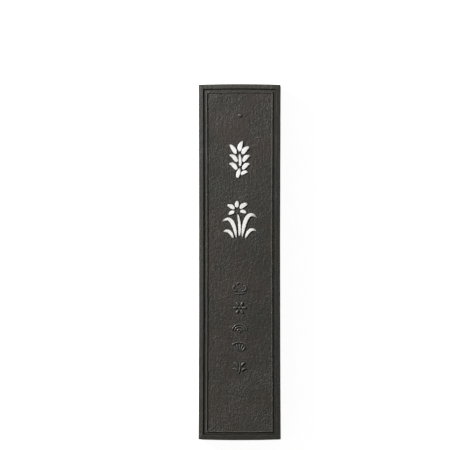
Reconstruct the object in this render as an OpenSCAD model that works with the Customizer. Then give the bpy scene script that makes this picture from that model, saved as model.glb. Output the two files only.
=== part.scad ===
// Ink stick for brush writing, lying on its back with its front face up.
// One moulded cake of soot and glue carries a rim, a thin frame line and
// raised ornament on its front. The two large plant ornaments are painted
// silver, and each patch of dry pigment is a film of its own.
// Millimetres. X runs across the width, Y along the length towards the
// ornaments' tops, and Z up from the surface that the back rim rests on.

/* [Cake] */
// Length from end to end, at the middle of the ends
stick_l = 134.5; // [110:0.5:160]
// Width across the corners
stick_w = 31.1; // [28:0.1:45]
// Thickness from the back rim to the front rim
stick_t = 13; // [8:0.5:20]
// How far each long side pulls in at its middle, from drying
side_waist = 0.2; // [0:0.05:0.6]
// How far each end bows out at its middle, from drying
end_bow = 0.25; // [0:0.05:0.6]
// Radius of the four upright corners
corner_r = 0.5; // [0.4:0.1:1.2]
// Radius that softens the edges round the front and the back
edge_r = 0.4; // [0.2:0.1:0.8]

/* [Frame] */
// Width of the raised rim round each face
rim_w = 1.8; // [1.4:0.1:2.2]
// Depth of the sunk panel below the rim
panel_d = 0.5; // [0.4:0.05:1]
// Distance from the edge to the middle of the thin raised line
line_inset = 3.15; // [2.8:0.05:4]
// Width of the thin raised line at half its height
line_w = 0.45; // [0.3:0.05:0.7]
// Height of the thin raised line above the panel
line_h = 0.4; // [0.1:0.05:0.4]
// Width that each sloping wall of the frame takes up
wall_run = 0.2; // [0.05:0.05:0.25]

/* [Ornament] */
// Height of the painted strokes above the panel, without their film
pad_h = 0.3; // [0.1:0.05:0.32]
// Thickness of the silver film
film_t = 0.08; // [0.04:0.01:0.08]
// How far the ink stands out round each film
pad_lip = 0.1; // [0:0.05:0.2]
// Height of the small unpainted ornaments above the panel
small_h = 0.4; // [0.1:0.05:0.4]
// Width of the lines that draw the small ornaments
small_w = 0.6; // [0.4:0.05:0.8]
// Distance of the leafy sprig's middle above the middle of the stick
sprig_y = 38.8; // [36:0.1:42]
// Distance of the orchid's middle above the middle of the stick
orchid_y = 15.9; // [13:0.1:20]
// Distance of the first small ornament below the middle of the stick
small_y = 9.7; // [8:0.1:12]
// Distance from one small ornament to the next
small_pitch = 7.5; // [6:0.1:8]

/* [Hidden] */

ink_colour = [0.075, 0.073, 0.068];
silver_colour = [0.86, 0.85, 0.83];
root = 0.2;           // how deep raised work is rooted in the panel
tip_half_w = 0.05;    // half width left at the very end of a stroke
corner_steps = 4;     // straight steps round one corner
side_steps = 8;       // straight steps along a long side
end_steps = 4;        // straight steps along an end
stroke_steps = 12;    // straight steps along a stroke
panel_z = stick_t - panel_d;
corner_y = stick_l / 2 - end_bow;

// A rounded rectangle whose ends bow out and whose sides pull in, set in
// from the edge of the cake by inset
function arc(cx, cy, r, a0) =
    [for (i = [0:corner_steps]) let (a = a0 + 90 * i / corner_steps)
        [cx + r * cos(a), cy + r * sin(a)]];
function between(a, b, n) =
    [for (i = [1:n - 1]) a + (b - a) * i / n];
function warp(p) =
    [p.x * (1 - side_waist / (stick_w / 2) * (1 - pow(p.y / corner_y, 2))),
     p.y * (1 + end_bow / corner_y * (1 - pow(2 * p.x / stick_w, 2)))];
function outline(inset) =
    let (
        hx = stick_w / 2 - inset,
        hy = corner_y - inset,
        r = max(corner_r - inset, 0.12),
        right_top = arc(hx - r, hy - r, r, 0),
        left_top = arc(r - hx, hy - r, r, 90),
        left_foot = arc(r - hx, r - hy, r, 180),
        right_foot = arc(hx - r, r - hy, r, 270)
    )
    [for (p = concat(
        right_top, between(right_top[corner_steps], left_top[0], end_steps),
        left_top, between(left_top[corner_steps], left_foot[0], side_steps),
        left_foot, between(left_foot[corner_steps], right_foot[0], end_steps),
        right_foot, between(right_foot[corner_steps], right_top[0], side_steps)
    )) warp(p)];

// The section of one face, from the panel out to the side: [inset, depth
// below the rim]
face_section = [
    [line_inset + line_w / 2 + wall_run / 2, panel_d],
    [line_inset + line_w / 2 - wall_run / 2, panel_d - line_h],
    [line_inset - line_w / 2 + wall_run / 2, panel_d - line_h],
    [line_inset - line_w / 2 - wall_run / 2, panel_d],
    [rim_w + wall_run / 2, panel_d],
    [rim_w - wall_run / 2, 0],
    for (a = [0:22.5:90]) [edge_r * (1 - sin(a)), edge_r * (1 - cos(a))]
];

// Skins a stack of closed loops that all have the same number of points
module loft(loops) {
    n = len(loops[0]);
    last = n * (len(loops) - 1);
    polyhedron(
        points = [for (ring = loops) each ring],
        faces = [
            [for (i = [0:n - 1]) i],
            for (k = [0:len(loops) - 2]) for (i = [0:n - 1])
                let (j = (i + 1) % n)
                each [
                    [n * k + i, n * (k + 1) + i, n * (k + 1) + j],
                    [n * k + i, n * (k + 1) + j, n * k + j]
                ],
            [for (i = [n - 1:-1:0]) last + i]
        ]
    );
}

function ring_at(inset, z) = [for (p = outline(inset)) [p.x, p.y, z]];

module cake() {
    faces = len(face_section);
    loft([
        for (s = face_section) ring_at(s[0], s[1]),
        for (i = [faces - 1:-1:0])
            ring_at(face_section[i][0], stick_t - face_section[i][1])
    ]);
}

// A brush stroke is [start, pull, end, width, shift, point]. Its middle
// line is a quadratic curve from start to end, pulled towards pull. It is
// widest early for a shift under 1 and late for one over 1. Its ends are
// round for a point of 0.5 and sharp for 1.
function middle(s, t) =
    (1 - t) * (1 - t) * s[0] + 2 * t * (1 - t) * s[1] + t * t * s[2];
function heading(s, t) =
    let (d = (1 - t) * (s[1] - s[0]) + t * (s[2] - s[1])) d / norm(d);
function half_width(s, t) =
    max(s[3] / 2 * pow(max(sin(180 * pow(t, s[4])), 0), s[5]), tip_half_w);
function flank(s, t, side, lip) =
    let (d = heading(s, t), h = half_width(s, t) + lip)
    middle(s, t) + side * h * [-d.y, d.x];
function stroke_outline(s, lip = 0) = concat(
    [for (i = [0:stroke_steps]) flank(s, i / stroke_steps, -1, lip)],
    [for (i = [stroke_steps:-1:0]) flank(s, i / stroke_steps, 1, lip)]
);

// The leafy sprig, round its own middle
sprig = [
    [[-0.9, -7.0], [-0.5, -5.2], [0.0, -3.5], 1.3, 0.85, 0.4],
    [[0.1, -2.7], [0.4, -0.4], [-0.1, 2.0], 1.0, 0.8, 0.5],
    [[0.1, 2.9], [-0.3, 5.0], [1.3, 7.0], 1.6, 0.75, 0.75],
    [[-1.4, 1.9], [-2.2, 4.5], [-3.9, 5.5], 1.5, 0.7, 0.75],
    [[1.0, 1.8], [1.9, 4.2], [3.9, 4.7], 1.6, 0.7, 0.75],
    [[-1.0, -1.1], [-1.9, 1.4], [-4.0, 1.6], 1.5, 0.7, 0.75],
    [[1.3, -1.1], [2.2, 1.4], [4.1, 1.3], 1.5, 0.7, 0.75],
    [[-1.1, -4.1], [-2.1, -1.4], [-4.0, -1.7], 1.5, 0.7, 0.75],
    [[1.2, -4.0], [2.2, -1.4], [4.1, -2.0], 1.5, 0.7, 0.75],
    [[0.6, -6.0], [1.7, -4.2], [3.3, -5.1], 1.2, 0.75, 0.75]
];

// The orchid, round its own middle
orchid = [
    [[-1.2, -6.8], [-2.4, 3.0], [-6.7, -0.8], 1.3, 0.8, 0.7],
    [[1.0, -6.6], [2.3, 5.2], [6.7, 0.6], 1.4, 0.8, 0.7],
    [[-2.3, -7.1], [-3.6, -3.0], [-6.3, -4.7], 1.1, 0.8, 0.7],
    [[2.2, -7.0], [3.8, -2.2], [6.5, -4.4], 1.1, 0.8, 0.7],
    [[-0.1, -6.2], [0.4, -1.8], [-0.7, 2.1], 0.9, 0.9, 0.4],
    [[-0.8, 4.5], [-1.3, 6.0], [-0.6, 7.2], 1.4, 0.9, 0.65],
    [[-1.9, 3.9], [-3.0, 5.5], [-4.7, 5.4], 1.4, 0.85, 0.65],
    [[0.2, 4.1], [1.2, 5.9], [3.2, 6.0], 1.5, 0.85, 0.65],
    [[-1.8, 2.9], [-3.1, 3.1], [-4.2, 1.8], 1.2, 0.85, 0.65],
    [[0.2, 3.0], [1.5, 3.6], [2.6, 2.3], 1.2, 0.85, 0.65]
];

module stroke(s, y, z0, z1, lip = 0) {
    translate([0, y, z0])
        linear_extrude(z1 - z0)
            polygon(stroke_outline(s, lip));
}

module silver(s, y) {
    color(silver_colour)
        stroke(s, y, panel_z + pad_h, panel_z + pad_h + film_t);
}

// Lines of the small ornaments, drawn flat
function arc_line(centre, r, a0, a1) =
    let (n = stroke_steps, in = r - small_w / 2, out = r + small_w / 2)
    concat(
        [for (i = [0:n]) let (a = a0 + (a1 - a0) * i / n)
            centre + out * [cos(a), sin(a)]],
        [for (i = [n:-1:0]) let (a = a0 + (a1 - a0) * i / n)
            centre + in * [cos(a), sin(a)]]
    );

module small_cloud() {
    polygon(arc_line([-1.5, -0.1], 1, 95, 300));
    polygon(arc_line([0, 0.9], 1.1, 5, 175));
    polygon(arc_line([1.5, -0.1], 1, -120, 85));
    polygon(stroke_outline([[-2.8, -1.9], [0, -2.6], [2.8, -1.7], 0.6, 1, 0.5]));
}

module small_blossom() {
    circle(r = 0.5, $fn = 24);
    for (a = [0:60:300])
        rotate(a)
            polygon(stroke_outline([[0.8, 0], [1.6, 0.1], [2.5, 0], 1.1, 1.3, 0.5]));
}

module small_wave() {
    for (r = [1:0.95:2.9])
        polygon(arc_line([0, -1.6], r, 8, 172));
    translate([0, -1.6])
        circle(r = 0.4, $fn = 24);
}

module small_fan() {
    foot = [0, -2.3];
    polygon(arc_line(foot, 4.3, 48, 132));
    for (a = [50:20:130])
        polygon(stroke_outline([
            foot + 0.9 * [cos(a), sin(a)],
            foot + 2 * [cos(a), sin(a)],
            foot + 3.6 * [cos(a), sin(a)], 0.6, 1.2, 0.5
        ]));
}

module small_sprig() {
    polygon(stroke_outline([[-0.5, -2.5], [0.5, -0.4], [0, 2.2], 0.6, 1, 0.4]));
    for (side = [-1, 1]) {
        polygon(stroke_outline([
            [side * 0.7, -1.4], [side * 1.5, -0.2], [side * 2.8, -0.5], 0.9, 0.8, 0.7
        ]));
        polygon(stroke_outline([
            [side * 0.6, 0.3], [side * 1.1, 1.7], [side * 2.3, 1.8], 0.9, 0.8, 0.7
        ]));
    }
}

module small_ornament(k) {
    translate([0, -small_y - k * small_pitch, panel_z - root])
        linear_extrude(root + small_h)
            children();
}

module ink_body() {
    color(ink_colour)
        union() {
            cake();
            for (s = sprig)
                stroke(s, sprig_y, panel_z - root, panel_z + pad_h, pad_lip);
            for (s = orchid)
                stroke(s, orchid_y, panel_z - root, panel_z + pad_h, pad_lip);
            small_ornament(0) small_cloud();
            small_ornament(1) small_blossom();
            small_ornament(2) small_wave();
            small_ornament(3) small_fan();
            small_ornament(4) small_sprig();
        }
}

module sprig_stem_foot() silver(sprig[0], sprig_y);
module sprig_stem_top() silver(sprig[1], sprig_y);
module sprig_leaf_tip() silver(sprig[2], sprig_y);
module sprig_leaf_left_high() silver(sprig[3], sprig_y);
module sprig_leaf_right_high() silver(sprig[4], sprig_y);
module sprig_leaf_left_middle() silver(sprig[5], sprig_y);
module sprig_leaf_right_middle() silver(sprig[6], sprig_y);
module sprig_leaf_left_low() silver(sprig[7], sprig_y);
module sprig_leaf_right_low() silver(sprig[8], sprig_y);
module sprig_leaf_foot() silver(sprig[9], sprig_y);
module orchid_leaf_left_long() silver(orchid[0], orchid_y);
module orchid_leaf_right_long() silver(orchid[1], orchid_y);
module orchid_leaf_left_short() silver(orchid[2], orchid_y);
module orchid_leaf_right_short() silver(orchid[3], orchid_y);
module orchid_stalk() silver(orchid[4], orchid_y);
module orchid_petal_top() silver(orchid[5], orchid_y);
module orchid_petal_left_high() silver(orchid[6], orchid_y);
module orchid_petal_right_high() silver(orchid[7], orchid_y);
module orchid_petal_left_low() silver(orchid[8], orchid_y);
module orchid_petal_right_low() silver(orchid[9], orchid_y);

ink_body();
sprig_stem_foot();
sprig_stem_top();
sprig_leaf_tip();
sprig_leaf_left_high();
sprig_leaf_right_high();
sprig_leaf_left_middle();
sprig_leaf_right_middle();
sprig_leaf_left_low();
sprig_leaf_right_low();
sprig_leaf_foot();
orchid_leaf_left_long();
orchid_leaf_right_long();
orchid_leaf_left_short();
orchid_leaf_right_short();
orchid_stalk();
orchid_petal_top();
orchid_petal_left_high();
orchid_petal_right_high();
orchid_petal_left_low();
orchid_petal_right_low();
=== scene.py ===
import math
import random

import bpy
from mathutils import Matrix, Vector


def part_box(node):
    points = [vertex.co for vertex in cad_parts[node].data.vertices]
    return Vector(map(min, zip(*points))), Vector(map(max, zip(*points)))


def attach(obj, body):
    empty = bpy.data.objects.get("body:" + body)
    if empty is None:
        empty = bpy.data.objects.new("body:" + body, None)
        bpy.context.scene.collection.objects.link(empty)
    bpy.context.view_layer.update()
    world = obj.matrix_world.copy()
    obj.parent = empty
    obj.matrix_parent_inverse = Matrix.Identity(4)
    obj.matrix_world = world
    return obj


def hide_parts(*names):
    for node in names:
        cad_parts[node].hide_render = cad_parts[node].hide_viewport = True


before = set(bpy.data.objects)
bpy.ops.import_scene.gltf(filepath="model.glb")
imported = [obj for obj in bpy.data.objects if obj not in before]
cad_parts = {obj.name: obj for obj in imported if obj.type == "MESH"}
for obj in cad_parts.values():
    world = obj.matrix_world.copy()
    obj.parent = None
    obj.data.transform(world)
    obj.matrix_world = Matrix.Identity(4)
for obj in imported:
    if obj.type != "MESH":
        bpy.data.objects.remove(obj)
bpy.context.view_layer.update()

MM = 0.001

# The cake's size comes from the frame. The rest is the mould's own section.
ink_low, ink_high = (Vector(corner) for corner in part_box("ink_body"))
LENGTH = ink_high.y - ink_low.y
WIDTH = ink_high.x - ink_low.x
THICKNESS = ink_high.z - ink_low.z
SIDE_WAIST = 0.2 * MM      # how far each long side pulls in, from drying
END_BOW = 0.25 * MM        # how far each end bows out
EDGE_R = 0.4 * MM
RIM_W = 1.8 * MM
RIM_CROWN = 0.2 * MM       # how much lower the front rim is at its outer edge
PANEL_D = 0.5 * MM         # how deep the panel is sunk below the rim
WALL_RUN = 0.2 * MM        # how wide each sloping wall is, seen from above
FOOT_GROOVE = 0.16 * MM    # how deep the mould bit at the foot of the rim
GROOVE_W = 0.5 * MM
LINE_INSET = 3.15 * MM     # from the edge to the middle of the frame line
LINE_W = 0.45 * MM
LINE_H = 0.4 * MM
GRAIN_H = 0.06 * MM
CHIP_D = 0.28 * MM         # how deep the corners have crumbled
UNEVEN = 0.07 * MM         # how far hand work strays from a true line
STROKE_UNEVEN = 0.06 * MM
PAD_H = 0.3 * MM           # height of the painted strokes, without their film
PAD_LIP = 0.1 * MM         # how far the ink stands out past a stroke
FILM_T = 0.05 * MM
TIP_HALF = 0.02 * MM       # half width left at the very end of a stroke
SMALL_H = 0.4 * MM
SMALL_W = 0.6 * MM
SMALL_TOP = -9.7 * MM      # first small ornament, below the stick's middle
SMALL_PITCH = 7.5 * MM
PANEL_Z = ink_high.z - PANEL_D

# A brush stroke, in millimetres from its ornament's middle: start, pull,
# end, width, shift of the widest place, and point (0.5 round, 1 sharp).
SPRIG = {
    "sprig_stem_foot": ((-0.9, -7.0), (-0.5, -5.2), (0.0, -3.5), 1.3, 0.85, 0.4),
    "sprig_stem_top": ((0.1, -2.7), (0.4, -0.4), (-0.1, 2.0), 1.0, 0.8, 0.5),
    "sprig_leaf_tip": ((0.1, 2.9), (-0.3, 5.0), (1.3, 7.0), 1.6, 0.75, 0.75),
    "sprig_leaf_left_high": ((-1.4, 1.9), (-2.2, 4.5), (-3.9, 5.5), 1.5, 0.7, 0.75),
    "sprig_leaf_right_high": ((1.0, 1.8), (1.9, 4.2), (3.9, 4.7), 1.6, 0.7, 0.75),
    "sprig_leaf_left_middle": ((-1.0, -1.1), (-1.9, 1.4), (-4.0, 1.6), 1.5, 0.7, 0.75),
    "sprig_leaf_right_middle": ((1.3, -1.1), (2.2, 1.4), (4.1, 1.3), 1.5, 0.7, 0.75),
    "sprig_leaf_left_low": ((-1.1, -4.1), (-2.1, -1.4), (-4.0, -1.7), 1.5, 0.7, 0.75),
    "sprig_leaf_right_low": ((1.2, -4.0), (2.2, -1.4), (4.1, -2.0), 1.5, 0.7, 0.75),
    "sprig_leaf_foot": ((0.6, -6.0), (1.7, -4.2), (3.3, -5.1), 1.2, 0.75, 0.75),
}
ORCHID = {
    "orchid_leaf_left_long": ((-1.2, -6.8), (-2.4, 3.0), (-6.7, -0.8), 1.3, 0.8, 0.7),
    "orchid_leaf_right_long": ((1.0, -6.6), (2.3, 5.2), (6.7, 0.6), 1.4, 0.8, 0.7),
    "orchid_leaf_left_short": ((-2.3, -7.1), (-3.6, -3.0), (-6.3, -4.7), 1.1, 0.8, 0.7),
    "orchid_leaf_right_short": ((2.2, -7.0), (3.8, -2.2), (6.5, -4.4), 1.1, 0.8, 0.7),
    "orchid_stalk": ((-0.1, -6.2), (0.4, -1.8), (-0.7, 2.1), 0.9, 0.9, 0.4),
    "orchid_petal_top": ((-0.8, 4.5), (-1.3, 6.0), (-0.6, 7.2), 1.4, 0.9, 0.65),
    "orchid_petal_left_high": ((-1.9, 3.9), (-3.0, 5.5), (-4.7, 5.4), 1.4, 0.85, 0.65),
    "orchid_petal_right_high": ((0.2, 4.1), (1.2, 5.9), (3.2, 6.0), 1.5, 0.85, 0.65),
    "orchid_petal_left_low": ((-1.8, 2.9), (-3.1, 3.1), (-4.2, 1.8), 1.2, 0.85, 0.65),
    "orchid_petal_right_low": ((0.2, 3.0), (1.5, 3.6), (2.6, 2.3), 1.2, 0.85, 0.65),
}


# ---------------------------------------------------------------- node trees

class Wire:
    """A socket that can be used in a formula: each sign adds a Math node."""

    def __init__(self, tree, socket):
        self.tree = tree
        self.socket = socket

    def __add__(self, other):
        return self.tree.math("ADD", self, other)

    def __radd__(self, other):
        return self.tree.math("ADD", other, self)

    def __sub__(self, other):
        return self.tree.math("SUBTRACT", self, other)

    def __rsub__(self, other):
        return self.tree.math("SUBTRACT", other, self)

    def __mul__(self, other):
        return self.tree.math("MULTIPLY", self, other)

    def __rmul__(self, other):
        return self.tree.math("MULTIPLY", other, self)

    def __truediv__(self, other):
        return self.tree.math("DIVIDE", self, other)

    def __rtruediv__(self, other):
        return self.tree.math("DIVIDE", other, self)

    def __neg__(self):
        return self.tree.math("MULTIPLY", self, -1.0)


class Tree:
    """A node tree with short calls for the nodes that this object needs."""

    def __init__(self, data):
        self.data = data

    def node(self, kind, plugs=None, **settings):
        node = self.data.nodes.new(kind)
        for name, value in settings.items():
            setattr(node, name, value)
        for name, value in (plugs or {}).items():
            self.plug(node.inputs[name], value)
        return node

    def plug(self, socket, value):
        if isinstance(value, Wire):
            self.data.links.new(value.socket, socket)
        else:
            socket.default_value = value

    def out(self, node, name=0):
        return Wire(self, node.outputs[name])

    def get(self, kind, plugs=None, output=0, **settings):
        return self.out(self.node(kind, plugs, **settings), output)

    def math(self, operation, *values):
        plugs = dict(enumerate(values))
        return self.get("ShaderNodeMath", plugs, operation=operation)

    def vector(self, operation, *values):
        plugs = dict(enumerate(values))
        return self.get("ShaderNodeVectorMath", plugs, operation=operation)

    def scale(self, vector, factor):
        plugs = {0: vector, "Scale": factor}
        return self.get("ShaderNodeVectorMath", plugs, operation="SCALE")

    def xyz(self, x=0.0, y=0.0, z=0.0):
        return self.get("ShaderNodeCombineXYZ", {0: x, 1: y, 2: z})

    def split(self, vector):
        node = self.node("ShaderNodeSeparateXYZ", {0: vector})
        return [self.out(node, axis) for axis in range(3)]

    def ramp(self, value, start, end, low=0.0, high=1.0, curve="SMOOTHSTEP"):
        plugs = {0: value, 1: start, 2: end, 3: low, 4: high}
        return self.get("ShaderNodeMapRange", plugs, interpolation_type=curve)

    def noise(self, vector, scale, detail=2.0, rough=0.5, output="Fac"):
        plugs = {"Vector": vector, "Scale": scale, "Detail": detail, "Roughness": rough}
        return self.get("ShaderNodeTexNoise", plugs, output)


def group(name, kind, inputs, outputs):
    """A node group with named sockets. Each input is (name, socket type or number)."""
    data = bpy.data.node_groups.new(name, kind)
    for label, value in inputs:
        is_number = not isinstance(value, str)
        given = "NodeSocketFloat" if is_number else value
        socket = data.interface.new_socket(label, in_out="INPUT", socket_type=given)
        if is_number:
            socket.default_value = value
    for label, given in outputs:
        data.interface.new_socket(label, in_out="OUTPUT", socket_type=given)
    tree = Tree(data)
    entry = tree.node("NodeGroupInput")
    sources = {label: tree.out(entry, label) for label, _ in inputs}
    return tree, sources, tree.node("NodeGroupOutput")


def geometry_group(name, inputs):
    """A geometry tree whose first socket in and out is the geometry."""
    return group(
        name, "GeometryNodeTree",
        [("Geometry", "NodeSocketGeometry")] + inputs,
        [("Geometry", "NodeSocketGeometry")],
    )


def close_tree(tree, output, geometry, material):
    """Ends a geometry tree in Realize Instances and Set Material."""
    real = tree.get("GeometryNodeRealizeInstances", {"Geometry": geometry})
    done = tree.get("GeometryNodeSetMaterial", {"Geometry": real, "Material": material})
    tree.plug(output.inputs["Geometry"], done)


def placed(name, data):
    """A new object in the scene, at the origin."""
    thing = bpy.data.objects.new(name, data)
    bpy.context.scene.collection.objects.link(thing)
    return thing


def grown(name, host, tree, values):
    """The plain mesh that a geometry tree makes of its host."""
    modifier = host.modifiers.new("shape", "NODES")
    modifier.node_group = tree.data
    for socket in tree.data.interface.items_tree:
        if socket.in_out == "INPUT" and socket.name in values:
            modifier[socket.identifier] = values[socket.name]
    evaluated = host.evaluated_get(bpy.context.evaluated_depsgraph_get())
    mesh = bpy.data.meshes.new_from_object(evaluated)
    host.modifiers.remove(modifier)
    mesh.name = name
    return placed(name, mesh)


def host_object(name, vertices, edges=(), faces=(), **values):
    """A mesh that a tree starts from, with float attributes on its points."""
    mesh = bpy.data.meshes.new(name)
    mesh.from_pydata(vertices, edges, faces)
    for label, numbers in values.items():
        attribute = mesh.attributes.new(label, "FLOAT", "POINT")
        attribute.data.foreach_set("value", numbers)
    return placed(name, mesh)


# ------------------------------------------------------------ brush strokes

def eased(steps):
    """Numbers from 0 to 1 that lie closer together towards both ends."""
    return [(1 - math.cos(math.pi * i / steps)) / 2 for i in range(steps + 1)]


def stroke_line(stroke, middle, steps=24):
    """Points and half widths along a brush stroke, in metres."""
    start, pull, end, width, shift, point = stroke
    line = []
    for t in eased(steps):
        along = [
            (1 - t) ** 2 * a + 2 * t * (1 - t) * b + t * t * c
            for a, b, c in zip(start, pull, end)
        ]
        swell = max(math.sin(math.pi * t ** shift), 0.0) ** point
        half = max(width / 2 * swell * MM, TIP_HALF)
        line.append((Vector((along[0], along[1], 0)) * MM + middle, half))
    return line


def arc_line(centre, radius, start, end, width, middle):
    """Points and half widths along a round-ended arc, in metres."""
    steps = max(8, round(radius * abs(end - start) / 12))
    line = []
    for t in eased(steps):
        angle = math.radians(start + (end - start) * t)
        swell = max(1 - abs(2 * t - 1) ** 8, 0.0) ** 0.5
        half = max(width / 2 * swell * MM, TIP_HALF)
        x = centre[0] + radius * math.cos(angle)
        y = centre[1] + radius * math.sin(angle)
        line.append((Vector((x, y, 0)) * MM + middle, half))
    return line


def line_host(name, lines):
    """One host mesh that holds many stroke lines as chains of edges."""
    vertices, edges, halves = [], [], []
    for line in lines:
        first = len(vertices)
        vertices += [point for point, _ in line]
        halves += [half for _, half in line]
        edges += [(i, i + 1) for i in range(first, len(vertices) - 1)]
    return host_object(name, vertices, edges, half_width=halves)


def section_host(name, points):
    """A closed section, one unit to each side, that a stroke is swept with."""
    count = len(points)
    edges = [(i, (i + 1) % count) for i in range(count)]
    return host_object(name, [(u, v, 0) for u, v in reversed(points)], edges)


def dome(first_angle, squareness, steps=14):
    """The top of a rounded section, from its right side over to its left."""
    points = []
    for i in range(steps + 1):
        angle = math.radians(first_angle + (180 - 2 * first_angle) * i / steps)
        c, s = math.cos(angle), math.sin(angle)
        size = (abs(c) ** squareness + abs(s) ** squareness) ** (1 / squareness)
        points.append((c / size, s / size))
    return points


def rays(centre, near, far, angles, width, shift, point):
    """Straight strokes that stand round a centre like petals or ribs."""
    strokes = []
    for angle in angles:
        c, s = math.cos(math.radians(angle)), math.sin(math.radians(angle))
        ends = [(centre[0] + r * c, centre[1] + r * s) for r in (near, (near + far) / 2, far)]
        strokes.append((*ends, width, shift, point))
    return strokes


def dot(centre, radius):
    """A round spot, drawn as a very short stroke."""
    (x, y), r = centre, radius
    return ((x - r, y), (x, y), (x + r, y), 2 * r, 1.0, 0.5)


def both_sides(stroke):
    """A stroke and its mirror image."""
    start, pull, end, *rest = stroke
    other = [(-x, y) for x, y in (start, pull, end)]
    return [stroke, (*other, *rest)]


def pimples():
    """Grains that stand up out of the panel, clear of the ornaments."""
    draw = random.Random(11)
    spots = [
        ((0.1, 55.4), 0.8), ((-5.0, 56.1), 0.24), ((-4.1, 55.3), 0.17), ((5.0, 55.8), 0.2),
        ((6.2, 56.3), 0.22), ((7.2, 55.4), 0.16), ((6.4, 47.1), 0.28),
    ]
    while len(spots) < 19:
        x, y = draw.uniform(-11, 11), draw.uniform(-62, 62)
        if abs(x) > 8 or y > 48 or y < -46:
            spots.append(((x, y), draw.uniform(0.12, 0.24)))
    return [stroke_line(dot(place, radius), Vector(), 8) for place, radius in spots]


def small_ornament_lines():
    """The five small ornaments, one under the other."""
    wave_foot, fan_foot = (0, -1.6), (0, -2.3)
    ornaments = [
        ([((-2.8, -1.9), (0, -2.6), (2.8, -1.7), 0.6, 1, 0.5)],
         [((-1.5, -0.1), 1.0, 95, 300), ((0, 0.9), 1.1, 5, 175), ((1.5, -0.1), 1.0, -120, 85)]),
        (rays((0, 0), 0.8, 2.5, range(0, 360, 60), 1.1, 1.3, 0.5) + [dot((0, 0), 0.5)], []),
        ([dot(wave_foot, 0.4)],
         [(wave_foot, r, 8, 172) for r in (1.0, 1.95, 2.9)]),
        (rays(fan_foot, 0.9, 3.6, range(50, 131, 20), 0.6, 1.2, 0.5),
         [(fan_foot, 4.3, 48, 132)]),
        ([((-0.5, -2.5), (0.5, -0.4), (0, 2.2), 0.6, 1, 0.4)]
         + both_sides(((0.7, -1.4), (1.5, -0.2), (2.8, -0.5), 0.9, 0.8, 0.7))
         + both_sides(((0.6, 0.3), (1.1, 1.7), (2.3, 1.8), 0.9, 0.8, 0.7)), []),
    ]
    lines = []
    for k, (strokes, arcs) in enumerate(ornaments):
        middle = Vector((0, SMALL_TOP - k * SMALL_PITCH, 0))
        lines += [stroke_line(s, middle, 12) for s in strokes]
        lines += [arc_line(*a, SMALL_W / MM, middle) for a in arcs]
    return lines


# ------------------------------------------------------------ the blank cake

# Places where the section turns, as (from, to, spacing) inwards from the edge
ZONES = [
    (0, EDGE_R, 0.1 * MM),
    (EDGE_R, RIM_W - WALL_RUN, 0.3 * MM),
    (RIM_W - WALL_RUN, RIM_W + WALL_RUN / 2 + GROOVE_W / 2, 0.06 * MM),
    (RIM_W + WALL_RUN / 2 + GROOVE_W / 2, LINE_INSET - LINE_W, 0.25 * MM),
    (LINE_INSET - LINE_W, LINE_INSET + LINE_W, 0.06 * MM),
]
FIELD_STEP = 0.45 * MM     # spacing of the points in the sunk panel
COARSE = 3                 # how much wider the spacing is on the back


def cut_lines(half):
    """(places, kept on the back) of the lines that cross one axis."""
    insets = []
    for start, end, step in ZONES:
        count = math.ceil((end - start) / step - 1e-6)
        insets += [start + (end - start) * i / count for i in range(count)]
    insets.append(ZONES[-1][1])
    inner = half - insets[-1]
    count = COARSE * round(2 * inner / FIELD_STEP / COARSE)
    field = [inner * (2 * i / count - 1) for i in range(1, count)]
    places = [i - half for i in insets] + field + [half - i for i in reversed(insets)]
    kept = [True] * len(insets)
    kept += [i % COARSE == 0 for i in range(1, count)]
    kept += [True] * len(insets)
    return places, kept


def blank_cake():
    """A closed plain block, with its points where the mould needs them."""
    xs, keep_x = cut_lines(WIDTH / 2)
    ys, keep_y = cut_lines(LENGTH / 2 - END_BOW)
    last_x, last_y = len(xs) - 1, len(ys) - 1
    back_x = [i for i, keep in enumerate(keep_x) if keep]
    back_y = [i for i, keep in enumerate(keep_y) if keep]
    round_steps = [i * EDGE_R / 6 for i in range(7)]
    fine_levels = [THICKNESS - s for s in round_steps] + [THICKNESS - 1.2 * MM]
    walls = [THICKNESS - 2.4 * MM - i * (THICKNESS - 3.6 * MM) / 8 for i in range(9)]
    coarse_levels = walls + list(reversed(round_steps))

    vertices, index, faces = [], {}, []

    def vertex(i, j, level):
        key = (i, j, round(level / MM, 3))
        if key not in index:
            index[key] = len(vertices)
            vertices.append((xs[i], ys[j], level))
        return index[key]

    def ring(level, keep_all):
        walk = [(i, 0) for i in range(last_x)] + [(last_x, j) for j in range(last_y)]
        walk += [(i, last_y) for i in range(last_x, 0, -1)]
        walk += [(0, j) for j in range(last_y, 0, -1)]
        if not keep_all:
            walk = [(i, j) for i, j in walk if keep_x[i] and keep_y[j]]
        return [(place, vertex(*place, level)) for place in walk]

    for i in range(last_x):
        for j in range(last_y):
            corners = ((i, j), (i + 1, j), (i + 1, j + 1), (i, j + 1))
            faces.append([vertex(a, b, THICKNESS) for a, b in corners])
    for a, a2 in zip(back_x, back_x[1:]):
        for b, b2 in zip(back_y, back_y[1:]):
            corners = ((a, b), (a, b2), (a2, b2), (a2, b))
            faces.append([vertex(c, d, 0.0) for c, d in corners])

    def wall(upper, lower):
        """Joins two rings. A coarse lower edge takes several upper points."""
        below = dict(lower)
        count = len(upper)
        starts = [k for k, (place, _) in enumerate(upper) if place in below]
        for n, k in enumerate(starts):
            end = starts[(n + 1) % len(starts)]
            span = (end - k) % count
            over = [upper[(k + m) % count][1] for m in range(span, -1, -1)]
            faces.append([below[upper[k][0]], below[upper[end][0]]] + over)

    rings = [ring(level, True) for level in fine_levels]
    rings += [ring(level, False) for level in coarse_levels]
    for upper, lower in zip(rings, rings[1:]):
        wall(upper, lower)
    return host_object("blank_cake", vertices, (), faces)


# ------------------------------------------------------------ geometry trees

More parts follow.
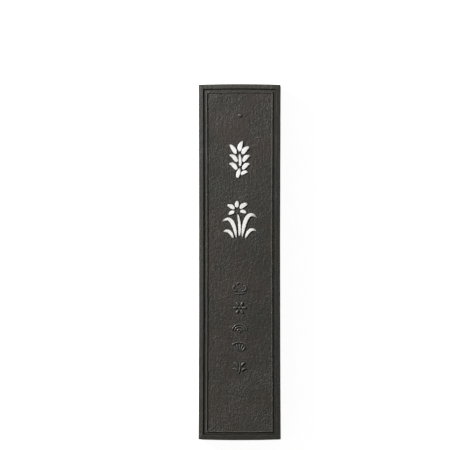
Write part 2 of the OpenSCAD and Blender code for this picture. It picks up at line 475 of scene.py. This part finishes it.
def raised_stroke_tree():
    """Sweeps a section along each line, as wide as the line's half width."""
    tree, given, output = geometry_group("Raised stroke", [
        ("Section", "NodeSocketObject"),
        ("Foot Level", 0.0),
        ("Height", PAD_H),
        ("Root", 0.2 * MM),
        ("Lip", PAD_LIP),
        ("Unevenness", STROKE_UNEVEN),
        ("Seed", 0.0),
        ("Material", "NodeSocketMaterial"),
    ])
    lines = tree.get("GeometryNodeMeshToCurve", {"Mesh": given["Geometry"]})
    lines = tree.get("GeometryNodeSetCurveNormal", {"Curve": lines}, mode="Z_UP")
    parameter = tree.node("GeometryNodeSplineParameter")
    for label, output_name in (("along", "Length"), ("run", "Factor")):
        lines = tree.get("GeometryNodeStoreNamedAttribute", {
            "Geometry": lines, "Name": label, "Value": tree.out(parameter, output_name)},
            data_type="FLOAT", domain="POINT")
    half = tree.get("GeometryNodeInputNamedAttribute", {"Name": "half_width"}, data_type="FLOAT")
    place = tree.get("GeometryNodeInputPosition")
    shifted = tree.vector("ADD", place, tree.xyz(0.0, 0.0, given["Seed"]))
    waver = (tree.noise(shifted, 1100.0, 3.0) - 0.5) * 2.0 * given["Unevenness"]
    open_width = tree.ramp(half, TIP_HALF, 0.3 * MM)
    spread = half + (given["Lip"] + waver) * open_width

    section = tree.get(
        "GeometryNodeObjectInfo", {"Object": given["Section"]}, "Geometry")
    section = tree.get("GeometryNodeMeshToCurve", {"Mesh": section})
    across, up, _ = tree.split(place)
    for label, value in (("up", up), ("across", across)):
        section = tree.get("GeometryNodeStoreNamedAttribute", {
            "Geometry": section, "Name": label, "Value": value},
            data_type="FLOAT", domain="POINT")
    swept = tree.get("GeometryNodeCurveToMesh", {
        "Curve": lines, "Profile Curve": section, "Scale": spread, "Fill Caps": True})

    up = tree.get("GeometryNodeInputNamedAttribute", {"Name": "up"}, data_type="FLOAT")
    x, y, _ = tree.split(place)
    sag = 0.45 + 0.55 * tree.ramp(half, TIP_HALF, 0.4 * MM)
    swell = 1.0 + (tree.noise(shifted, 700.0, 2.0) - 0.5) * 0.2
    above = tree.math("MAXIMUM", up, 0.0) * given["Height"] * sag * swell
    below = tree.math("MINIMUM", up, 0.0) * given["Root"]
    raised = tree.get("GeometryNodeSetPosition", {
        "Geometry": swept, "Position": tree.xyz(x, y, given["Foot Level"] + above + below)})
    close_tree(tree, output, raised, given["Material"])
    return tree


def moulded_cake_tree(stroke_tree):
    """Presses the mould's section into the blank and adds the raised work."""
    tree, given, output = geometry_group("Moulded cake", [
        ("Painted Strokes", "NodeSocketObject"),
        ("Flat Section", "NodeSocketObject"),
        ("Plain Strokes", "NodeSocketObject"),
        ("Round Section", "NodeSocketObject"),
        ("Width", WIDTH),
        ("Length", LENGTH),
        ("Thickness", THICKNESS),
        ("Edge Radius", EDGE_R),
        ("Rim Width", RIM_W),
        ("Rim Crown", RIM_CROWN),
        ("Panel Depth", PANEL_D),
        ("Line Inset", LINE_INSET),
        ("Line Width", LINE_W),
        ("Line Height", LINE_H),
        ("Wall Run", WALL_RUN),
        ("Foot Groove", FOOT_GROOVE),
        ("Groove Width", GROOVE_W),
        ("Side Waist", SIDE_WAIST),
        ("End Bow", END_BOW),
        ("Grain Height", GRAIN_H),
        ("Chip Depth", CHIP_D),
        ("Hand Unevenness", UNEVEN),
        ("Material", "NodeSocketMaterial"),
    ])
    place = tree.get("GeometryNodeInputPosition")
    x, y, z = tree.split(place)
    half_x = given["Width"] / 2.0
    half_y = given["Length"] / 2.0 - given["End Bow"]
    half_z = given["Thickness"] / 2.0
    radius = given["Edge Radius"]

    # The edge rounding: each point goes to the radius round an inner block
    inner_high = tree.xyz(half_x - radius, half_y - radius, given["Thickness"] - radius)
    inner_low = tree.xyz(radius - half_x, radius - half_y, radius)
    core = tree.vector("MINIMUM", tree.vector("MAXIMUM", place, inner_low), inner_high)
    out = tree.vector("NORMALIZE", tree.vector("SUBTRACT", place, core))
    ox, oy, oz = tree.split(tree.vector("ABSOLUTE", out))
    corner = 1.0 - tree.math("MAXIMUM", ox, tree.math("MAXIMUM", oy, oz))
    crumbled = tree.ramp(tree.noise(place, 230.0, 2.0), 0.56, 0.76)
    chip = given["Chip Depth"] * crumbled * tree.ramp(corner, 0.0, 0.25)
    rounded = tree.vector("ADD", core, tree.scale(out, radius - chip))

    # The mould's section, by distance from the nearest edge
    inset = tree.math(
        "MINIMUM", half_x - tree.math("ABSOLUTE", x), half_y - tree.math("ABSOLUTE", y))
    hand = (tree.noise(place, 220.0, 3.0) - 0.5) * 2.0
    cut = inset + hand * given["Hand Unevenness"]
    run = given["Wall Run"] / 2.0
    in_panel = tree.ramp(cut, given["Rim Width"] - run, given["Rim Width"] + run)
    line_half = given["Line Width"] / 2.0 + run
    from_line = tree.math("MINIMUM", tree.math(
        "ABSOLUTE", (cut - given["Line Inset"]) / line_half), 1.0)
    line = 1.0 - tree.math("POWER", from_line, 2.2)
    from_foot = tree.math("MINIMUM", tree.math(
        "ABSOLUTE", (cut - given["Rim Width"] - run) / (given["Groove Width"] / 2.0)), 1.0)
    bite = (1.0 - from_foot * from_foot) * given["Foot Groove"] * in_panel
    depth = in_panel * given["Panel Depth"] - line * given["Line Height"] + bite
    side = (z - half_z) / half_z
    face = tree.ramp(tree.math("ABSOLUTE", side), 0.99999, 0.999999, curve="LINEAR")

    # The skin that drying leaves: pimples and troughs in the panel
    coarse = tree.noise(place, 900.0, 3.0, 0.6) - 0.5
    long_vector = tree.vector("MULTIPLY", place, tree.xyz(1.0, 0.16, 1.0))
    streak = tree.noise(long_vector, 1400.0, 2.0) - 0.5
    grain = (coarse + streak * 0.7) * given["Grain Height"] * 2.0
    quiet = tree.ramp(inset, given["Rim Width"] + 2.5 * run, given["Line Inset"] + line_half + run)
    grain = grain * (0.35 + 0.65 * quiet)
    rise = (grain - depth) * side * face
    outward = tree.ramp(inset, 0.0, given["Rim Width"], 1.0, 0.0, "LINEAR")
    near_front = tree.ramp(side, 0.7, 1.0)
    crown = given["Rim Crown"] * outward * near_front
    pressed = tree.vector("ADD", rounded, tree.xyz(0.0, 0.0, rise - crown))

    # Drying pulls the long sides in and leaves the ends bowed
    px, py, pz = tree.split(pressed)
    along = tree.math("POWER", tree.math("ABSOLUTE", py / half_y), 2.0)
    across = tree.math("POWER", tree.math("ABSOLUTE", px / half_x), 2.0)
    waisted = px * (1.0 - (1.0 - along) * (given["Side Waist"] / half_x))
    bowed = py * (1.0 + (1.0 - across) * (given["End Bow"] / half_y))
    wander = tree.noise(place, 45.0, 4.0, 0.6, output="Color")
    wander = tree.vector("SUBTRACT", wander, tree.xyz(0.5, 0.5, 0.5))
    wander = tree.scale(wander, given["Hand Unevenness"] * 2.0)
    dried = tree.vector("ADD", tree.xyz(waisted, bowed, pz), wander)
    cake = given["Geometry"]
    # The frame line's up is held at 0.8 so that the painted highlight on its top stays weaker
    for label, value in (("field", quiet * face * in_panel), ("up", line * face * 0.8)):
        cake = tree.get("GeometryNodeStoreNamedAttribute", {
            "Geometry": cake, "Name": label, "Value": value},
            data_type="FLOAT", domain="POINT")
    cake = tree.get("GeometryNodeSetPosition", {"Geometry": cake, "Position": dried})

    def raised(lines, section, height, lip):
        strokes = tree.node("GeometryNodeGroup", node_tree=stroke_tree.data)
        plugs = {
            "Geometry": tree.get("GeometryNodeObjectInfo", {"Object": given[lines]}, "Geometry"),
            "Section": given[section],
            "Material": given["Material"],
            "Foot Level": given["Thickness"] - given["Panel Depth"],
            "Height": height,
            "Lip": lip,
        }
        for name, value in plugs.items():
            tree.plug(strokes.inputs[name], value)
        return tree.out(strokes)

    join = tree.node("GeometryNodeJoinGeometry")
    tree.plug(join.inputs[0], raised("Painted Strokes", "Flat Section", PAD_H, PAD_LIP))
    tree.plug(join.inputs[0], raised("Plain Strokes", "Round Section", SMALL_H, 0.0))
    island = tree.get("GeometryNodeInputMeshIsland")
    apart = tree.get("GeometryNodeSplitToInstances", {
        "Geometry": tree.out(join), "Group ID": island}, domain="FACE")
    union = tree.node("GeometryNodeMeshBoolean", operation="UNION", solver="MANIFOLD")
    tree.plug(union.inputs["Mesh 2"], cake)
    tree.plug(union.inputs["Mesh 2"], apart)
    whole = tree.out(union)

    # Where the surface turns outwards it is rubbed, inwards it is shaded
    angle = tree.get("GeometryNodeInputMeshEdgeAngle", output="Signed Angle")
    for label, turned in (("worn", angle), ("hollow", -angle)):
        spread = tree.get("GeometryNodeBlurAttribute", {
            "Value": tree.math("MAXIMUM", turned, 0.0), "Iterations": 3, "Weight": 1.0},
            data_type="FLOAT")
        whole = tree.get("GeometryNodeStoreNamedAttribute", {
            "Geometry": whole, "Name": label, "Value": spread},
            data_type="FLOAT", domain="POINT")
    soft = tree.math("LESS_THAN", tree.math("ABSOLUTE", angle), math.radians(38))
    whole = tree.get("GeometryNodeSetShadeSmooth", {
        "Geometry": whole, "Shade Smooth": soft}, domain="EDGE")
    close_tree(tree, output, whole, given["Material"])
    return tree


# ------------------------------------------------------------ materials

def shader_group(name, inputs, outputs):
    return group(name, "ShaderNodeTree", inputs, [(label, "NodeSocketFloat") for label in outputs])


def grain_group():
    """The skin of a pressed and dried cake: pimples, crumbs and streaks."""
    tree, given, output = shader_group(
        "Pressed grain",
        [("Vector", "NodeSocketVector"), ("Pimple Size", 0.9), ("Streak Length", 7.0)],
        ["Height", "Tone"])
    place = given["Vector"]
    per_mm = 1.0 / given["Pimple Size"]
    bent = tree.vector("ADD", place, tree.scale(
        tree.noise(place, 0.8, 2.0, output="Color"), 1.1))
    pimples = tree.get("ShaderNodeTexVoronoi", {
        "Vector": bent, "Scale": per_mm, "Smoothness": 0.8, "Randomness": 1.0},
        "Distance", feature="SMOOTH_F1")
    crumbs = tree.noise(place, per_mm * 2.2, 5.0, 0.62)
    thin = tree.xyz(1.0, 1.0 / given["Streak Length"], 1.0)
    streaks = tree.noise(tree.vector("MULTIPLY", place, thin), per_mm * 1.7, 3.0)
    strength = tree.ramp(tree.noise(place, 0.13, 3.0), 0.3, 0.7, 0.7, 1.15)
    height = (crumbs * 0.8 + streaks * 0.25 - pimples * 0.35) * strength
    clouds = tree.noise(place, 0.17, 4.0, 0.6)
    tone = clouds * 0.5 + crumbs * 0.35 + streaks * 0.15
    tree.plug(output.inputs["Height"], height)
    tree.plug(output.inputs["Tone"], tree.ramp(tone, 0.38, 0.62))
    return tree.data


def rubbed_group():
    """Where handling has rubbed the outward edges, in broken patches."""
    tree, given, output = shader_group(
        "Rubbed edge",
        [("Vector", "NodeSocketVector"), ("Turn", 0.0), ("Reach", 0.12)],
        ["Mask"])
    broken = tree.ramp(tree.noise(given["Vector"], 0.7, 4.0, 0.65), 0.3, 0.7, 0.35, 1.0)
    edge = tree.ramp(given["Turn"], 0.02, given["Reach"])
    tree.plug(output.inputs["Mask"], edge * broken)
    return tree.data


def dust_group():
    """Pale soot dust: sparse specks, and a little more in the hollows."""
    tree, given, output = shader_group(
        "Settled dust",
        [("Vector", "NodeSocketVector"), ("Hollow", 0.0), ("Speck Size", 0.35)],
        ["Mask"])
    cells = tree.node("ShaderNodeTexVoronoi", {
        "Vector": given["Vector"], "Scale": 1.0 / given["Speck Size"] / 2.5})
    speck = tree.ramp(tree.out(cells, "Distance"), 0.12, 0.26, 1.0, 0.0)
    pick, _, _ = tree.split(tree.out(cells, "Color"))
    rare = tree.ramp(pick, 0.8, 0.9)
    film = tree.ramp(given["Hollow"], 0.0, 0.25) * tree.noise(given["Vector"], 1.9, 3.0)
    tree.plug(output.inputs["Mask"], tree.math("MINIMUM", speck * rare + film * 0.5, 1.0))
    return tree.data


def scrape_group():
    """Long fine marks that the knife left when the moulding was trimmed."""
    tree, given, output = shader_group(
        "Scrape marks",
        [("Vector", "NodeSocketVector"), ("Spacing", 0.5), ("Length", 14.0)],
        ["Mask", "Bloom"])
    place = given["Vector"]
    drawn_out = tree.xyz(1.0 / given["Spacing"], 1.0 / given["Length"], 1.0 / given["Spacing"])
    strands = tree.noise(tree.vector("MULTIPLY", place, drawn_out), 1.0, 3.0, 0.55)
    patches = tree.noise(place, 0.16, 3.0)
    marks = tree.ramp(strands, 0.54, 0.7) * tree.ramp(patches, 0.42, 0.6)
    bloom = tree.ramp(tree.noise(place, 0.4, 6.0, 0.7), 0.47, 0.72)
    tree.plug(output.inputs["Mask"], marks)
    tree.plug(output.inputs["Bloom"], bloom * tree.ramp(patches, 0.35, 0.65, 1.0, 0.3))
    return tree.data


GRAIN, RUBBED, DUST, SCRAPES = grain_group(), rubbed_group(), dust_group(), scrape_group()


class Finish(Tree):
    """A material's own tree: a Principled shader and the mask groups."""

    def __init__(self, name):
        self.material = bpy.data.materials.new(name)
        self.material.use_nodes = True
        super().__init__(self.material.node_tree)
        self.shader = self.data.nodes["Principled BSDF"]
        coordinates = self.get("ShaderNodeTexCoord", output="Object")
        self.place = self.get("ShaderNodeMapping", {
            "Vector": coordinates, "Scale": (1 / MM, 1 / MM, 1 / MM)})

    def effect(self, data, output, **plugs):
        node = self.node("ShaderNodeGroup", node_tree=data)
        self.plug(node.inputs["Vector"], self.place)
        for name, value in plugs.items():
            self.plug(node.inputs[name.replace("_", " ")], value)
        return [self.out(node, label) for label in output]

    def attribute(self, name):
        return self.get("ShaderNodeAttribute", output="Fac", attribute_name=name)

    def blend(self, mask, low, high):
        node = self.node("ShaderNodeMix", data_type="RGBA")
        self.plug(node.inputs[0], mask)
        for index, colour in ((6, low), (7, high)):
            given = colour if isinstance(colour, Wire) else (*colour, 1.0)
            self.plug(node.inputs[index], given)
        return self.out(node, 2)

    def bump(self, height, depth):
        return self.get("ShaderNodeBump", {"Height": height, "Distance": depth, "Strength": 1.0})

    def set(self, **plugs):
        for name, value in plugs.items():
            self.plug(self.shader.inputs[name.replace("_", " ")], value)


def soot_ink():
    """Dried soot and glue: brown-black in the panels, greener on the rims, with a painted
    highlight on raised tops and painted shade in the creases.
    """
    skin = Finish("soot_ink")
    field = skin.attribute("field")
    height, tone = skin.effect(GRAIN, ("Height", "Tone"), Pimple_Size=0.8, Streak_Length=7.0)
    rubbed, = skin.effect(RUBBED, ("Mask",), Turn=skin.attribute("worn"), Reach=0.3)
    hollow = skin.attribute("hollow")
    dust, = skin.effect(DUST, ("Mask",), Hollow=hollow, Speck_Size=0.3)
    scrapes, bloom = skin.effect(SCRAPES, ("Mask", "Bloom"), Spacing=0.5, Length=14.0)
    outside = 1.0 - field
    drift = skin.ramp(skin.noise(skin.place, 0.06, 3.0), 0.4, 0.6)
    panel = skin.blend(drift, (0.033, 0.0255, 0.02), (0.0205, 0.0222, 0.0175))
    rim = skin.blend(drift, (0.0275, 0.0285, 0.0175), (0.026, 0.0278, 0.0235))
    _, along, _ = skin.split(skin.place)
    foot = skin.ramp(along, -30.0, -55.0)
    panel = skin.blend(foot * 0.8, panel, (0.036, 0.030, 0.0205))
    base = skin.blend(field, rim, panel)
    base = skin.blend(tone * 0.7, base, (0.044, 0.0375, 0.030))
    base = skin.blend(rubbed * 0.25, base, (0.052, 0.052, 0.048))
    base = skin.blend(dust * 0.25, base, (0.10, 0.097, 0.09))
    base = skin.blend(bloom * outside * 0.4, base, (0.062, 0.06, 0.053))
    base = skin.blend(scrapes * outside * 0.4, base, (0.062, 0.061, 0.056))
    # Painted highlight: the tops of the raised strokes, small ornaments and frame line are made
    # much lighter, standing in for the light they catch. Their lower roughness is real polish.
    polish_and_painted_highlight = skin.ramp(skin.attribute("up"), 0.55, 1.0)
    base = skin.blend(polish_and_painted_highlight * 0.9, base, (0.115, 0.112, 0.104))
    # Painted shade: the concave feet of walls and strokes are darkened towards black, standing in
    # for the shade that gathers there. The rise in roughness there is real.
    painted_crease_shade = skin.ramp(hollow, 0.05, 0.4)
    base = skin.blend(painted_crease_shade * 0.4, base, (0.006, 0.006, 0.005))
    rough = 0.5 - 0.1 * tone - 0.05 * rubbed + 0.12 * dust + 0.2 * painted_crease_shade - 0.2 * polish_and_painted_highlight
    rough = rough - scrapes * outside * 0.12
    grain = height * (0.6 + 0.4 * field) * (1.0 + 0.45 * foot) - scrapes * outside * 0.2
    skin.set(Base_Color=base, Roughness=rough, Normal=skin.bump(grain, 0.24 * MM))
    return skin.material


def dry_brush_group():
    """Paint that streaks along the stroke and thins at its edges and end."""
    tree, given, output = shader_group(
        "Dry brush",
        [("Vector", "NodeSocketVector"), ("Across", 0.0), ("Along", 0.0), ("Run", 0.0),
         ("Half Width", 0.5), ("Ragged Edge", 0.22)],
        ["Coverage", "Streak"])
    _, y, _ = tree.split(given["Vector"])
    hairs = tree.xyz(given["Across"] * 2.6, given["Along"] * 0.3, y * 0.13)
    streak = tree.noise(hairs, 1.5, 4.0, 0.6)
    from_edge = given["Half Width"] * (1.0 - tree.math("ABSOLUTE", given["Across"]))
    bitten = tree.ramp(tree.noise(given["Vector"], 2.4, 4.0, 0.65), 0.35, 0.75)
    edge = tree.ramp(from_edge - bitten * given["Ragged Edge"], 0.0, 0.08)
    ending = tree.ramp(given["Run"], 0.35, 1.0, 0.0, 0.17)
    gaps = tree.ramp(streak + ending, 0.66, 0.76)
    tree.plug(output.inputs["Coverage"], edge * (1.0 - gaps * 0.8))
    tree.plug(output.inputs["Streak"], tree.ramp(streak, 0.3, 0.7))
    return tree.data


BRUSH = dry_brush_group()


def silver_pigment():
    """Dry silver brushed on by hand over the raised strokes."""
    paint = Finish("silver_pigment")
    height, tone = paint.effect(GRAIN, ("Height", "Tone"), Pimple_Size=0.5, Streak_Length=1.5)
    dust, = paint.effect(DUST, ("Mask",), Hollow=0.0, Speck_Size=0.2)
    coverage, streak = paint.effect(
        BRUSH, ("Coverage", "Streak"), Across=paint.attribute("across"),
        Along=paint.attribute("along") / MM, Run=paint.attribute("run"),
        Half_Width=paint.attribute("half_width") / MM, Ragged_Edge=0.13)
    colour = paint.blend(tone * 0.4 + streak * 0.6, (0.70, 0.69, 0.67), (0.96, 0.945, 0.92))
    colour = paint.blend(dust * 0.5, colour, (0.3, 0.3, 0.29))
    colour = paint.blend(coverage, (0.07, 0.067, 0.062), colour)
    rough = 0.66 - 0.12 * tone
    paint.set(Base_Color=colour, Roughness=rough, Metallic=coverage * 0.1)
    relief = height * 0.5 + streak * 0.5 + coverage * 0.6
    paint.set(Normal=paint.bump(relief, 0.06 * MM))
    return paint.material


# ------------------------------------------------------------ pieces

def middle_of(names):
    """The middle of the box that these nodes fill, seen from above."""
    boxes = [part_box(name) for name in names]
    low = [min(box[0][k] for box in boxes) for k in range(2)]
    high = [max(box[1][k] for box in boxes) for k in range(2)]
    return Vector(((low[0] + high[0]) / 2, (low[1] + high[1]) / 2, 0))


def on_foot(curve):
    """A dome closed by a foot that goes down into the panel."""
    return curve + [(-1, -1), (1, -1)]


def thin_shell(squareness):
    """A dome with an underside a little inside it, as dried paint has."""
    outer = dome(20, squareness)
    return outer + [(u * 0.9, v * 0.8) for u, v in reversed(outer)]


def stands_for(piece, node):
    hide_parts(node)
    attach(piece, "root")


ink = soot_ink()
silver = silver_pigment()
stroke_tree = raised_stroke_tree()
cake_tree = moulded_cake_tree(stroke_tree)

painted = {}
for ornament in (SPRIG, ORCHID):
    middle = middle_of(ornament)
    for name, stroke in ornament.items():
        painted[name] = stroke_line(stroke, middle)

flat_section = section_host("flat_section", on_foot(dome(0, 7)))
round_section = section_host("round_section", on_foot(dome(0, 2)))
film_section = section_host("film_section", thin_shell(7))
painted_lines = line_host("painted_lines", list(painted.values()))
plain_lines = line_host("plain_lines", small_ornament_lines() + pimples())
blank = blank_cake()

body = grown("ink_cake", blank, cake_tree, {
    "Painted Strokes": painted_lines,
    "Flat Section": flat_section,
    "Plain Strokes": plain_lines,
    "Round Section": round_section,
    "Material": ink,
})
stands_for(body, "ink_body")

for name, line in painted.items():
    host = line_host(name + "_line", [line])
    film = grown(name + "_film", host, stroke_tree, {
        "Section": film_section,
        "Foot Level": PANEL_Z,
        "Height": PAD_H + FILM_T,
        "Lip": PAD_LIP + FILM_T,
        "Material": silver,
    })
    bpy.data.objects.remove(host)
    stands_for(film, name)

for host in (blank, painted_lines, plain_lines, flat_section, round_section, film_section):
    bpy.data.objects.remove(host)

# ------------------------------------------------------------ studio

FLOOR_REACH = 1.5
FLOOR_DROP = 0.1 * MM      # keeps the floor clear of the back rim
FLOOR_GLOW = 0.9           # the floor is lit from under, as on a light table
KEY_FROM = (-0.72, 0.52, 0.56)
KEY_DISTANCE = 0.55
KEY_SIZE = 0.13
KEY_POWER = 5.2
ROOM_LIGHT = 0.12
FRAME_WIDTH = 169.8 * MM   # how much the view takes in at the rim's height
OFF_CENTRE = Vector((-5.5 * MM, 14.0 * MM, 0))
CAMERA_HEIGHT = 1.5


def pale_floor():
    reach = FLOOR_REACH
    corners = [(-reach, -reach), (reach, -reach), (reach, reach), (-reach, reach)]
    mesh = bpy.data.meshes.new("floor")
    mesh.from_pydata([(x, y, -FLOOR_DROP) for x, y in corners], [], [(0, 1, 2, 3)])
    paper = bpy.data.materials.new("pale_floor")
    paper.use_nodes = True
    shader = paper.node_tree.nodes["Principled BSDF"]
    shader.inputs["Base Color"].default_value = (0.85, 0.85, 0.85, 1)
    shader.inputs["Roughness"].default_value = 0.9
    shader.inputs["Emission Color"].default_value = (1, 1, 1, 1)
    shader.inputs["Emission Strength"].default_value = FLOOR_GLOW
    mesh.materials.append(paper)
    placed("floor", mesh)


def key_lamp():
    data = bpy.data.lights.new("key", "AREA")
    data.shape = "DISK"
    data.size = KEY_SIZE
    data.energy = KEY_POWER
    lamp = placed("key", data)
    lamp.location = Vector(KEY_FROM).normalized() * KEY_DISTANCE
    lamp.rotation_euler = Vector(KEY_FROM).to_track_quat("Z", "Y").to_euler()


def room_light():
    world = bpy.data.worlds.new("studio")
    world.use_nodes = True
    background = world.node_tree.nodes["Background"]
    background.inputs["Color"].default_value = (1, 1, 1, 1)
    background.inputs["Strength"].default_value = ROOM_LIGHT
    bpy.context.scene.world = world


def camera_overhead():
    data = bpy.data.cameras.new("camera")
    data.sensor_width = 36.0
    data.lens = data.sensor_width * (CAMERA_HEIGHT - THICKNESS) / FRAME_WIDTH
    data.clip_end = 10
    camera = placed("camera", data)
    camera.location = Vector((0, 0, CAMERA_HEIGHT)) + OFF_CENTRE
    bpy.context.scene.camera = camera


pale_floor()
key_lamp()
room_light()
camera_overhead()
bpy.context.scene.view_settings.view_transform = "Standard"
